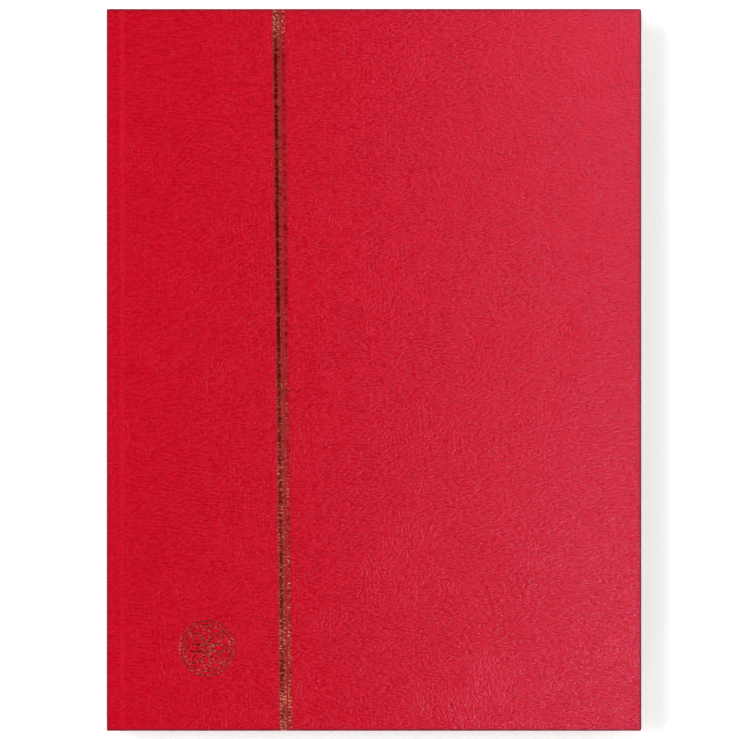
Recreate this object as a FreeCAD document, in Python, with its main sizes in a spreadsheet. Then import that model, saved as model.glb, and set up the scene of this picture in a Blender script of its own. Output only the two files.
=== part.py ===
"""A hard-cover stamp stockbook of eight leaves, closed and lying on its back cover.

Frame: +X from the spine to the fore-edge, +Y to the head, +Z from the back cover to the front cover.
The origin is the middle of the back cover's outer face. All sizes are in millimetres.
"""
import FreeCAD, Part
import os

import Sketcher

LEAF_COUNT = 8

SIZES = {
    # case
    "cover_height": 305.0,
    "cover_width": 226.0,
    "leather_thick": 0.4,
    "board_thick": 2.2,
    "edge_round": 0.9,
    "turn_in": 14.0,
    "pastedown_thick": 0.15,
    "pastedown_margin": 4.0,
    "spine_board_thick": 1.5,
    "spine_board_clear": 0.1,
    "board_setback": 7.6,
    "groove_depth": 1.0,
    # foil lines, measured across the front cover from the spine's outer face
    "wide_line_centre": 73.3,
    "wide_line_width": 3.0,
    "narrow_line_width": 1.5,
    "line_gap": 0.7,
    "line_lean": 0.6,
    "line_end_margin": 1.2,
    "foil_thick": 0.05,
    # blind-stamped double ring
    "stamp_from_spine": 42.6,
    "stamp_from_tail": 35.0,
    "stamp_outer_radius": 11.5,
    "stamp_inner_radius": 9.8,
    "stamp_line_width": 0.55,
    "stamp_depth": 0.12,
    # sewn back
    "lining_thick": 0.3,
    "guard_width": 4.4,
    "thread_diameter": 0.5,
    "thread_bend": 0.6,
    "thread_clear": 0.1,
    "stitch_pitch": 40.0,
    # sheets
    "leaf_square": 4.0,
    "card_thick": 0.6,
    "linen_thick": 0.18,
    "linen_free_span": 6.0,
    "linen_overlap": 8.0,
    "fold_clear": 0.3,
    "flyleaf_thick": 0.15,
    "glassine_thick": 0.08,
    "glassine_inset": 2.0,
    "sheet_gap": 0.12,
    # pocket strips
    "film_thick": 0.1,
    "pocket_gap": 0.1,
    "pocket_height": 28.0,
    "pocket_pitch": 31.5,
    "pocket_seal": 2.0,
    "pocket_gutter_margin": 10.0,
    "pocket_fore_margin": 5.0,
    "pocket_tail_margin": 8.5,
}
POCKETS_PER_PAGE = 9
STITCH_HOLES = 7

doc = FreeCAD.newDocument("Stockbook")
sheet = doc.addObject("Spreadsheet::Sheet", "Sizes")
for row, (alias, size) in enumerate(SIZES.items(), start=1):
    sheet.set(f"A{row}", alias)
    sheet.set(f"B{row}", str(size))
    sheet.setAlias(f"B{row}", alias)
doc.recompute()


def cell(alias):
    """The expression that reads one size."""
    return f"Sizes.{alias}"


def add(*terms):
    return "(" + " + ".join(terms) + ")"


def less(first, *terms):
    return "(" + " - ".join((first,) + terms) + ")"


def times(count, term):
    return f"({count} * {term})"


def half(term):
    return f"({term} / 2)"


# Heights of the closed album, from the back cover up.
skin_and_board = add(cell("leather_thick"), cell("board_thick"))
cover_thick = add(skin_and_board, cell("pastedown_thick"))
leaf_thick = add(cell("card_thick"), times(2, add(cell("pocket_gap"), cell("film_thick"))))
leaf_step = add(leaf_thick, cell("glassine_thick"), times(2, cell("sheet_gap")))
ends_thick = times(2, add(cover_thick, cell("flyleaf_thick"), times(2, cell("sheet_gap"))))
leaves_thick = add(times(LEAF_COUNT - 1, leaf_step), leaf_thick)
album_thick = add(ends_thick, leaves_thick)
joint_level = add(cell("groove_depth"), cell("leather_thick"))

# Places across the album, from the spine to the fore-edge.
spine_face = f"(-{half(cell('cover_width'))})"
fore_edge = half(cell("cover_width"))
spine_board_face = add(spine_face, cell("leather_thick"))
lining_face = add(spine_board_face, cell("spine_board_thick"))
guard_face = add(lining_face, cell("lining_thick"))
guard_edge = add(guard_face, cell("guard_width"))
fold_line = add(guard_edge, cell("fold_clear"))
sheet_start = add(fold_line, cell("fold_clear"))
card_start = add(fold_line, cell("linen_free_span"))
leaf_edge = less(fore_edge, cell("leaf_square"))
cover_start = less(add(spine_face, cell("board_setback")), cell("leather_thick"))
cover_span = less(fore_edge, cover_start)

# Half heights of the pages, from the middle of the spine to head or tail.
cover_half = half(cell("cover_height"))
leaf_half = less(cover_half, cell("leaf_square"))


def top_of_leaf(number):
    """Height of the top of leaf `number`, counted from the front cover."""
    top_leaf = less(album_thick, cover_thick, cell("flyleaf_thick"), times(2, cell("sheet_gap")))
    return less(top_leaf, times(number - 1, leaf_step))


def leaf_middle(number):
    return less(top_of_leaf(number), half(leaf_thick))


def glassine_middle(number):
    return less(top_of_leaf(number), leaf_thick, cell("sheet_gap"), half(cell("glassine_thick")))


front_flyleaf_middle = less(album_thick, cover_thick, cell("sheet_gap"), half(cell("flyleaf_thick")))
back_flyleaf_middle = add(cover_thick, cell("sheet_gap"), half(cell("flyleaf_thick")))


def bind(item, expressions):
    for path, text in expressions.items():
        item.setExpression(path, text)


def block(name, x_span, y_span, z_span):
    """A box between two expressions along each axis."""
    box = doc.addObject("Part::Box", name)
    for side, axis, (low, high) in (("Length", "x", x_span), ("Width", "y", y_span), ("Height", "z", z_span)):
        bind(box, {side: less(high, low), f"Placement.Base.{axis}": low})
    return box


def about(middle, thick):
    """The span of a sheet of this thickness about its middle height."""
    return less(middle, half(thick)), add(middle, half(thick))


def either_way(reach):
    return f"(-{reach})", reach


def cut(name, base, tool):
    made = doc.addObject("Part::Cut", name)
    made.Base = base
    made.Tool = tool
    return made


def group(name, members):
    made = doc.addObject("Part::Compound", name)
    made.Links = members
    return made


def origin_feature(body, role):
    return next(item for item in body.Origin.OriginFeatures if item.Role == role)


def sketch_on(body, name, role):
    sketch = body.newObject("Sketcher::SketchObject", name)
    sketch.AttachmentSupport = [(origin_feature(body, role), "")]
    sketch.MapMode = "FlatFace"
    return sketch


def closed_outline(sketch, corners):
    """Straight lines through the corners, alternately level and upright, from the sketch's origin."""
    count = len(corners)
    points = [FreeCAD.Vector(x, y, 0) for x, y in corners]
    for index in range(count):
        sketch.addGeometry(Part.LineSegment(points[index], points[(index + 1) % count]), False)
    for index in range(count):
        sketch.addConstraint(Sketcher.Constraint("Coincident", index, 2, (index + 1) % count, 1))
        sketch.addConstraint(Sketcher.Constraint("Vertical" if index % 2 else "Horizontal", index))


def measure(sketch, name, kind, start, end, expression):
    """A driving distance between two (line, end) points, bound to a size."""
    index = sketch.addConstraint(Sketcher.Constraint(kind, *start, *end, 1.0))
    sketch.renameConstraint(index, name)
    sketch.setExpression(f"Constraints.{name}", expression)


ORIGIN = (-1, 1)


def rectangle(body, name, width, height, left=None, bottom=None):
    """A sketched rectangle on the body's XY plane, from its origin or set in from it."""
    sketch = sketch_on(body, name, "XY_Plane")
    closed_outline(sketch, ((1, 1), (3, 1), (3, 3), (1, 3)))
    measure(sketch, "wide", "DistanceX", (0, 1), (0, 2), width)
    measure(sketch, "high", "DistanceY", (1, 1), (1, 2), height)
    for label, kind, axis, offset in (("left", "DistanceX", -2, left), ("bottom", "DistanceY", -1, bottom)):
        if offset is None:
            sketch.addConstraint(Sketcher.Constraint("PointOnObject", 0, 1, axis))
        else:
            measure(sketch, label, kind, ORIGIN, (0, 1), offset)
    return sketch


def pad(body, name, sketch, length):
    made = body.newObject("PartDesign::Pad", name)
    made.Profile = sketch
    made.setExpression("Length", length)
    return made


def cover_placement(side, item):
    """Front covers stand as drawn, back covers are turned over about X."""
    bind(item, {"Placement.Base.x": cover_start})
    if side == "front":
        bind(item, {
            "Placement.Base.y": f"(-{cover_half})",
            "Placement.Base.z": less(album_thick, skin_and_board),
        })
        return
    item.Placement = FreeCAD.Placement(FreeCAD.Vector(), FreeCAD.Rotation(FreeCAD.Vector(1, 0, 0), 180))
    bind(item, {"Placement.Base.y": cover_half, "Placement.Base.z": skin_and_board})


def cover_board(side):
    """A board with a stepped inner face, so that the turned-in leather lies flush beside it."""
    body = doc.addObject("PartDesign::Body", f"{side}_board")
    leather = cell("leather_thick")
    board_wide = less(cover_span, times(2, leather))
    board_high = less(cell("cover_height"), times(2, leather))
    window = rectangle(
        body, f"{side}_window", less(board_wide, cell("turn_in")), less(board_high, times(2, cell("turn_in"))),
        leather, add(leather, cell("turn_in")),
    )
    pad(body, f"{side}_core", window, cell("board_thick"))
    outline = rectangle(body, f"{side}_outline", board_wide, board_high, leather, leather)
    bind(outline, {"AttachmentOffset.Base.z": leather})
    body.Tip = pad(body, f"{side}_plate", outline, less(cell("board_thick"), leather))
    cover_placement(side, body)
    return body


def cover_blank(side):
    """The cover's outer form with its rounded edges, before the board is taken out of it."""
    body = doc.addObject("PartDesign::Body", f"{side}_blank")
    outline = rectangle(body, f"{side}_cover_outline", cover_span, cell("cover_height"))
    form = pad(body, f"{side}_form", outline, skin_and_board)
    doc.recompute()
    middle = form.Shape.BoundBox.Center
    rounded = []
    for number, edge in enumerate(form.Shape.Edges, start=1):
        reach = edge.BoundBox
        on_outer_face = reach.ZMin > middle.z
        at_fore_corner = reach.ZMax > middle.z and reach.XMin > middle.x
        if on_outer_face or at_fore_corner:
            rounded.append(f"Edge{number}")
    edges = body.newObject("PartDesign::Fillet", f"{side}_edges")
    edges.Base = (form, rounded)
    bind(edges, {"Radius": cell("edge_round")})
    body.Tip = edges
    cover_placement(side, body)
    return body


def foil_line(name, centre):
    """One leaning foil line in the front cover's face."""
    width = cell(f"{name}_line_width")
    line = doc.addObject("Part::Box", f"gold_line_{name}")
    length = less(cell("cover_height"), times(2, cell("line_end_margin")))
    line.Placement = FreeCAD.Placement(FreeCAD.Vector(), FreeCAD.Rotation(FreeCAD.Vector(0, 0, 1), 1))
    lean = cell("line_lean")
    bind(line, {
        "Length": width,
        "Width": length,
        "Height": cell("foil_thick"),
        "Placement.Rotation.Angle": lean,
        "Placement.Base.x": f"{centre} - {half(width)} * cos({lean} * 1deg) + {half(length)} * sin({lean} * 1deg)",
        "Placement.Base.y": f"-{half(width)} * sin({lean} * 1deg) - {half(length)} * cos({lean} * 1deg)",
        "Placement.Base.z": less(album_thick, cell("foil_thick")),
    })
    return line


def stamped_ring(name, radius):
    """A ring sunk into the front cover's face."""
    parts = []
    for label, reach in (("outside", radius), ("inside", less(radius, cell("stamp_line_width")))):
        disc = doc.addObject("Part::Cylinder", f"{name}_{label}")
        bind(disc, {
            "Radius": reach,
            "Height": cell("stamp_depth"),
            "Placement.Base.x": add(spine_face, cell("stamp_from_spine")),
            "Placement.Base.y": less(cell("stamp_from_tail"), cover_half),
            "Placement.Base.z": less(album_thick, cell("stamp_depth")),
        })
        parts.append(disc)
    return cut(name, *parts)


def joint_leather(side):
    """The leather strip of the groove between the spine and one cover."""
    low, high = cell("groove_depth"), joint_level
    if side == "front":
        low, high = less(album_thick, joint_level), less(album_thick, cell("groove_depth"))
    return block(f"{side}_joint_leather", (spine_board_face, cover_start), either_way(cover_half), (low, high))


def pastedown(side):
    low, high = skin_and_board, cover_thick
    if side == "front":
        low, high = less(album_thick, cover_thick), less(album_thick, skin_and_board)
    return block(
        f"{side}_pastedown",
        (add(cover_start, cell("leather_thick")), less(fore_edge, cell("pastedown_margin"))),
        either_way(less(cover_half, cell("pastedown_margin"))),
        (low, high),
    )


def make_covers():
    made = []
    for side in ("front", "back"):
        board = cover_board(side)
        skin = cut(f"{side}_cover_bare_skin", cover_blank(side), board)
        made += [board, pastedown(side), joint_leather(side)]
        if side == "front":
            wide_centre = add(spine_face, cell("wide_line_centre"))
            reach = add(half(cell("wide_line_width")), cell("line_gap"), half(cell("narrow_line_width")))
            lines = [foil_line("wide", wide_centre), foil_line("narrow", add(wide_centre, reach))]
            rings = [
                stamped_ring("outer_ring", cell("stamp_outer_radius")),
                stamped_ring("inner_ring", cell("stamp_inner_radius")),
            ]
            made += lines
            skin = cut("front_cover_stamped_skin", skin, group("stamped_forms", lines + rings))
        skin.Label = f"{side}_cover_skin"
        made.append(skin)
    return made


def make_spine():
    """The spine's board, stepped at head and tail for the leather that is turned in over its ends."""
    leather = cell("leather_thick")
    rise = joint_level, less(album_thick, joint_level)
    board_rise = add(rise[0], cell("spine_board_clear")), less(rise[1], cell("spine_board_clear"))
    core_half = less(cover_half, leather, cell("turn_in"))
    core = block("spine_core", (spine_board_face, lining_face), either_way(core_half), board_rise)
    plate = block(
        "spine_plate", (spine_board_face, less(lining_face, leather)), either_way(less(cover_half, leather)), board_rise
    )
    board = doc.addObject("Part::Fuse", "spine_board")
    board.Base = core
    board.Tool = plate
    cover = block("spine_face_leather", (spine_face, spine_board_face), either_way(cover_half), rise)
    ends = block("spine_end_leather", (spine_board_face, lining_face), either_way(cover_half), board_rise)
    middle = block("spine_between_ends", (spine_board_face, lining_face), either_way(core_half), board_rise)
    turned = cut("spine_turn_ins", cut("spine_ends_alone", ends, middle), board)
    skin = doc.addObject("Part::Fuse", "spine_skin")
    skin.Base = cover
    skin.Tool = turned
    lining_rise = (
        less(back_flyleaf_middle, half(cell("flyleaf_thick"))),
        add(front_flyleaf_middle, half(cell("flyleaf_thick"))),
    )
    lining = block("spine_lining", (lining_face, guard_face), either_way(leaf_half), lining_rise)
    return [board, skin, lining]


def sheet_stack():
    """Kind, middle height and thickness of every sheet at the sewn back, from the front cover down."""
    stack = [("endpaper", front_flyleaf_middle, cell("flyleaf_thick"))]
    for number in range(1, LEAF_COUNT + 1):
        stack.append(("linen", leaf_middle(number), cell("linen_thick")))
        if number < LEAF_COUNT:
            stack.append(("glassine", glassine_middle(number), cell("glassine_thick")))
    stack.append(("endpaper", back_flyleaf_middle, cell("flyleaf_thick")))
    return stack


def stitch_places():
    """Places of the stitch holes along the spine."""
    first = -(STITCH_HOLES - 1) / 2
    return [times(first + index, cell("stitch_pitch")) for index in range(STITCH_HOLES)]


def make_sewn_back():
    """Guard strips and the sheets' sewn margins between them, all pierced for the thread."""
    stack = sheet_stack()
    strip_x = (guard_face, guard_edge)
    strip_y = either_way(leaf_half)
    margins = {"endpaper": [], "linen": [], "glassine": []}
    for index, (kind, middle, thick) in enumerate(stack):
        margins[kind].append(block(f"{kind}_margin_{index}", strip_x, strip_y, about(middle, thick)))
    guards = []
    for index, (upper, lower) in enumerate(zip(stack, stack[1:])):
        rise = add(lower[1], half(lower[2])), less(upper[1], half(upper[2]))
        guards.append(block(f"guard_{index}", strip_x, strip_y, rise))
    holes = []
    for index, place in enumerate(stitch_places()):
        hole = doc.addObject("Part::Cylinder", f"stitch_hole_{index}")
        bind(hole, {
            "Radius": add(half(cell("thread_diameter")), cell("thread_clear")),
            "Height": album_thick,
            "Placement.Base.x": add(guard_face, half(cell("guard_width"))),
            "Placement.Base.y": place,
        })
        holes.append(hole)
    needle = group("stitch_holes", holes)
    made = [cut("guard_strips", group("guard_blanks", guards), needle)]
    for kind, strips in margins.items():
        made.append(cut(f"{kind}_sewn_margins", group(f"{kind}_margin_blanks", strips), needle))
    return made


def rounded_path(points, radius):
    """Straight runs through the points, joined by tangent arcs."""
    edges = []
    start = points[0]
    for before, corner, after in zip(points, points[1:], points[2:]):
        inward = (before - corner).normalize()
        outward = (after - corner).normalize()
        arc_start = corner + inward * radius
        arc_end = corner + outward * radius
        centre = corner + (inward + outward) * radius
        crown = centre + (corner - centre).normalize() * radius
        edges.append(Part.LineSegment(start, arc_start).toShape())
        edges.append(Part.Arc(arc_start, crown, arc_end).toShape())
        start = arc_end
    edges.append(Part.LineSegment(start, points[-1]).toShape())
    return Part.Wire(edges)


def make_thread():
    """One running stitch, above and below the guards by turns, through every hole."""
    size = {alias: sheet.get(alias) for alias in SIZES}
    radius = size["thread_diameter"] / 2
    end_thick = size["leather_thick"] + size["board_thick"] + size["pastedown_thick"] + size["sheet_gap"]
    leaf = size["card_thick"] + 2 * (size["pocket_gap"] + size["film_thick"])
    step = leaf + size["glassine_thick"] + 2 * size["sheet_gap"]
    pile = (LEAF_COUNT - 1) * step + leaf + 2 * (size["flyleaf_thick"] + size["sheet_gap"])
    low = end_thick - radius - size["thread_clear"]
    high = end_thick + pile + radius + size["thread_clear"]
    first = -(STITCH_HOLES - 1) / 2
    points = [FreeCAD.Vector(0, first * size["stitch_pitch"], low)]
    level, other = high, low
    for index in range(STITCH_HOLES):
        place = (first + index) * size["stitch_pitch"]
        if index:
            points.append(FreeCAD.Vector(0, place, other))
        points.append(FreeCAD.Vector(0, place, level))
        level, other = other, level
    path = rounded_path(points, size["thread_bend"])
    start = points[0]
    profile = Part.Wire([Part.makeCircle(radius, start, points[1] - start)])
    thread = doc.addObject("Part::Feature", "sewing_thread")
    thread.Shape = path.makePipeShell([profile], True, False)
    lining_x = -size["cover_width"] / 2 + size["leather_thick"] + size["spine_board_thick"] + size["lining_thick"]
    thread.Placement.Base = FreeCAD.Vector(lining_x + size["guard_width"] / 2, 0, 0)
    return thread


def pocket_strips(name, face, over):
    """Clear strips on one page: each a film with a sealed foot along its lower edge, open at the top."""
    body = doc.addObject("PartDesign::Body", name)
    sketch = sketch_on(body, f"{name}_profile", "YZ_Plane")
    closed_outline(sketch, ((0, 0), (2, 0), (2, 1), (9, 1), (9, 2), (0, 2)))
    sketch.addConstraint(Sketcher.Constraint("Coincident", 0, 1, *ORIGIN))
    measure(sketch, "seal", "DistanceX", (0, 1), (0, 2), cell("pocket_seal"))
    measure(sketch, "gap", "DistanceY", (1, 1), (1, 2), cell("pocket_gap"))
    measure(sketch, "film", "DistanceY", (3, 1), (3, 2), cell("film_thick"))
    measure(sketch, "high", "DistanceX", (4, 2), (4, 1), cell("pocket_height"))
    strip_start = add(card_start, cell("pocket_gutter_margin"))
    strip_end = less(leaf_edge, cell("pocket_fore_margin"))
    film = pad(body, f"{name}_film", sketch, less(strip_end, strip_start))
    rows = body.newObject("PartDesign::LinearPattern", f"{name}_rows")
    rows.Originals = [film]
    rows.Direction = (origin_feature(body, "Y_Axis"), [""])
    rows.Mode = "Spacing"
    rows.Occurrences = POCKETS_PER_PAGE
    bind(rows, {"Offset": cell("pocket_pitch")})
    body.Tip = rows
    if not over:
        body.Placement = FreeCAD.Placement(FreeCAD.Vector(), FreeCAD.Rotation(FreeCAD.Vector(0, 1, 0), 180))
    bind(body, {
        "Placement.Base.x": strip_start if over else strip_end,
        "Placement.Base.y": less(cell("pocket_tail_margin"), leaf_half),
        "Placement.Base.z": face,
    })
    return body


def make_leaf(number):
    """A card with a linen hinge let into its gutter edge and pocket strips on both faces."""
    middle = leaf_middle(number)
    card_z = about(middle, cell("card_thick"))
    linen_z = about(middle, cell("linen_thick"))
    linen_end = add(card_start, cell("linen_overlap"))
    name = f"leaf_{number}"
    blank = block(f"{name}_card_blank", (card_start, leaf_edge), either_way(leaf_half), card_z)
    slit = block(f"{name}_slit", (card_start, linen_end), either_way(leaf_half), linen_z)
    return [
        cut(f"{name}_card", blank, slit),
        block(f"{name}_linen_hinge", (sheet_start, linen_end), either_way(leaf_half), linen_z),
        pocket_strips(f"{name}_front_strips", card_z[1], True),
        pocket_strips(f"{name}_back_strips", card_z[0], False),
    ]


def make_loose_sheets():
    """The flyleaves and the glassine interleaves."""
    whole = (sheet_start, leaf_edge)
    thick = cell("flyleaf_thick")
    made = [
        block("front_flyleaf", whole, either_way(leaf_half), about(front_flyleaf_middle, thick)),
        block("back_flyleaf", whole, either_way(leaf_half), about(back_flyleaf_middle, thick)),
    ]
    inset = (sheet_start, less(leaf_edge, cell("glassine_inset")))
    inset_half = either_way(less(leaf_half, cell("glassine_inset")))
    for number in range(1, LEAF_COUNT):
        rise = about(glassine_middle(number), cell("glassine_thick"))
        made.append(block(f"glassine_{number}", inset, inset_half, rise))
    return made


def check(items):
    """Stop at any failed feature or unusable shape."""
    for item in doc.Objects:
        if "Invalid" in item.State or "Error" in item.State:
            raise RuntimeError(f"{item.Label} failed: {item.State}")
    for item in items:
        if item.Shape.isNull() or not item.Shape.isValid():
            raise RuntimeError(f"{item.Label} has no valid shape")


def main():
    nodes = make_covers() + make_spine() + make_sewn_back() + [make_thread()] + make_loose_sheets()
    for number in range(1, LEAF_COUNT + 1):
        nodes += make_leaf(number)
    doc.recompute()
    check(nodes)
    os.makedirs("parts", exist_ok=True)
    for node in nodes:
        node.Shape.exportStep(f"parts/{node.Label}.step")
        print(node.Label, len(node.Shape.Solids), round(node.Shape.Volume, 3))
    print(len(nodes), "nodes")


main()
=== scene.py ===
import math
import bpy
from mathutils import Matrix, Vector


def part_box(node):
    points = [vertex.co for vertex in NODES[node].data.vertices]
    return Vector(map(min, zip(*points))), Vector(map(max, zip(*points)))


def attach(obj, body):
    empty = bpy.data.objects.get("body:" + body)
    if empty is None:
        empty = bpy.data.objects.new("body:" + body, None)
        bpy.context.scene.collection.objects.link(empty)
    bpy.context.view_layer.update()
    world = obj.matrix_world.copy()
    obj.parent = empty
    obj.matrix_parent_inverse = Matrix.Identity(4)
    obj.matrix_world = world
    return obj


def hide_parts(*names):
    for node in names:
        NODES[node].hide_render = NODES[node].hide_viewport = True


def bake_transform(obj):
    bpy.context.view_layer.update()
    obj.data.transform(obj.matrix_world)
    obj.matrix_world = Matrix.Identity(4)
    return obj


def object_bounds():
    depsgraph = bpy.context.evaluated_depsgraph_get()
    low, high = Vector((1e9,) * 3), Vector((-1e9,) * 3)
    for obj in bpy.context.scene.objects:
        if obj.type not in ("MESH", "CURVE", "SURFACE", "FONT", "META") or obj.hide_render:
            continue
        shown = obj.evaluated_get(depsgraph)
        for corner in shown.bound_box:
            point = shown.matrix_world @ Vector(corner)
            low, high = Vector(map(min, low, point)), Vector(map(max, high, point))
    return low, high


bl_info = {
    "name": "Stockbook dressing",
    "version": (1, 0, 0),
    "blender": (4, 5, 0),
    "location": "View3D > Sidebar > Stockbook",
    "description": "Dresses a cased stockbook in leatherette, foil, paper, linen and clear film",
    "category": "Object",
}

import bmesh
import bpy
from bpy.props import FloatProperty, FloatVectorProperty, IntProperty, PointerProperty
from mathutils import Matrix, Vector

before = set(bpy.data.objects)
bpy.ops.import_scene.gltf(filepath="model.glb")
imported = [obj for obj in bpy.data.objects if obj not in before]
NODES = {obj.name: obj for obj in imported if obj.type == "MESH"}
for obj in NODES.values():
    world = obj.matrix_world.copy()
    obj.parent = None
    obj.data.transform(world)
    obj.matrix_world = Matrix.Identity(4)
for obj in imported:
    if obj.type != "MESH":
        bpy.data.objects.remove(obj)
CAD_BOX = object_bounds()
MM = 0.001
LEAVES = range(1, 9)
GLASSINES = range(1, 8)
PETALS = 8

# Places closer than this are one place
NEAR = 1e-6

# Grain of the leatherette: stretches that lay a pattern across or up the book, shares of its
# cells, dashes and creases, relief and roughness
ACROSS = (0.3, 1.0, 1.0)
UPRIGHT = (1.0, 0.5, 1.0)
GRAIN_SHARES = (0.62, 0.22, 0.16)
GRAIN_DEPTH = 0.26 * MM
GRAIN_ROUGHNESS = (0.295, 0.455)

# Ripples of the leatherette as (turn, spacing, patches per metre, share in the relief), and their
# share in its tone, whose low parts are darkened partly as painted shade
RIPPLES = (
    (0.1, 1.6 * MM, 36.0, 0.15),
    (1.5, 1.8 * MM, 45.0, 0.08),
    (-0.7, 2.0 * MM, 52.0, 0.11),
)
RIPPLE_TONE = 0.3

# Distances from the outline and from the faces over which the painted shade of the edges fades
SHADE_FROM_EDGE = (0.4 * MM, 1.6 * MM)
SHADE_FROM_FACE = (1.6 * MM, 2.8 * MM)

# Foil: roughness, share of metal, and a painted reflection that brightens it at places from the
# tail, 0, to the head, 1
FOIL_ROUGHNESS = (0.26, 0.42)
FOIL_METAL = (0.35, 0.75)
FOIL_PAINTED_GLEAM = (
    (0.0, 1.0),
    (0.08, 0.8),
    (0.3, 0.62),
    (0.48, 0.5),
    (0.55, 0.2),
    (0.68, 0.1),
    (0.78, 0.35),
    (0.93, 0.25),
    (0.97, 0.9),
)

# Joint leatherette in millimetres from the spine's and the cover's outer faces: section, rounded
# corners as (point, radius, segments), and cuts
JOINT_SECTION = ((0.0, -2.6), (0.0, -0.92), (2.9, -1.1), (5.6, -1.1), (7.2, -0.36))
JOINT_CORNERS = ((1, 1.3, 8), (2, 0.5, 4), (3, 0.6, 4))
JOINT_CUTS = (1.6, 2.0)

# Endpaper that lines the joint, given in the same way
PAPER_SECTION = ((8.6, -2.77), (7.5, -2.74), (6.6, -1.98), (2.9, -1.9), (2.15, -2.5))
PAPER_CORNERS = ((1, 0.3, 4), (2, 0.5, 4), (3, 0.35, 4))
PAPER_CUTS = (3.6, 4.3, 5.0, 5.7)

# Distance from the spine's face to a place inside the book
INSIDE = 5.0 * MM

# Cuts across a linen hinge, in millimetres from the root of its fold, and the share of its
# thickness that is left where it is pressed thin
LINEN_CUTS = (-0.06, 0.0, 0.06, 0.12, 0.18, 0.24, 0.3, 0.36, 0.42, 0.48, 0.6, 1.2, 1.8)
LINEN_PRESS = 0.3

# Cuts in the board's slope, across a foil line as shares of its half width, and in the gauze;
# a foil line's bed is deeper by its crown along the middle
SLOPE_CUTS = 6
LINE_CUTS = (0.35, 0.7, 1.0)
LINE_CROWN = 0.6
GAUZE_CUTS = 30

# Segments of the rounded edges and of the stamp's outlines
EDGE_SEGMENTS = 5
SPINE_SEGMENTS = 4
RING_SEGMENTS = 64
PETAL_SEGMENTS = 40

# Lamps as (name, place, aim, (width, height), watts), in metres: broad ones for the colours, which
# gloss doesn't see, and two small ones that only gloss sees
MIDDLE = (0.0, 0.0, 0.0)
BROAD_LAMPS = (
    ("left_lamp", (-2.1, 0.44, 1.87), MIDDLE, (2.0, 2.0), 74.0),
    ("right_lamp", (2.16, 0.11, 2.09), MIDDLE, (2.0, 2.0), 37.0),
    ("head_lamp", (0.22, 2.42, 0.88), MIDDLE, (2.2, 1.1), 26.5),
    ("foot_lamp", (0.11, -2.42, 0.88), MIDDLE, (2.2, 1.1), 26.5),
)
SHEEN_LAMPS = (
    ("head_sheen", (0.17, 0.221, 0.279), (0.06, 0.05, 0.0), (0.16, 0.24), 0.66),
    ("foot_sheen", (0.193, -0.186, 0.409), (0.06, -0.05, 0.0), (0.16, 0.24), 1.22),
)

# Surround: its fill light, and the heights over which it fades from white in gloss
SURROUND_FILL = 0.025
SURROUND_FADE = (0.02, 0.16)

# Floor: half its side, and its glow at two distances from the book
FLOOR_HALF = 7.0
FLOOR_FADE = (0.5, 1.4)
FLOOR_GLOW = (0.42, 1.0)

# Camera: lens and sensor in millimetres, width of the frame at the cover, and place over it
LENS = 200.0
SENSOR = 36.0
FRAME_WIDTH = 312.05 * MM
CAMERA_PLACE = (-1.86 * MM, 0.17 * MM)


def length(name, description, millimetres):
    """A length setting whose default is given in millimetres."""
    return FloatProperty(
        name=name,
        description=description,
        default=millimetres * MM,
        precision=5,
        unit="LENGTH",
    )


def colour(name, description, red, green, blue):
    """A colour setting in linear light."""
    return FloatVectorProperty(
        name=name,
        description=description,
        default=(red, green, blue),
        size=3,
        min=0.0,
        max=1.0,
        subtype="COLOR",
    )


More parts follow.
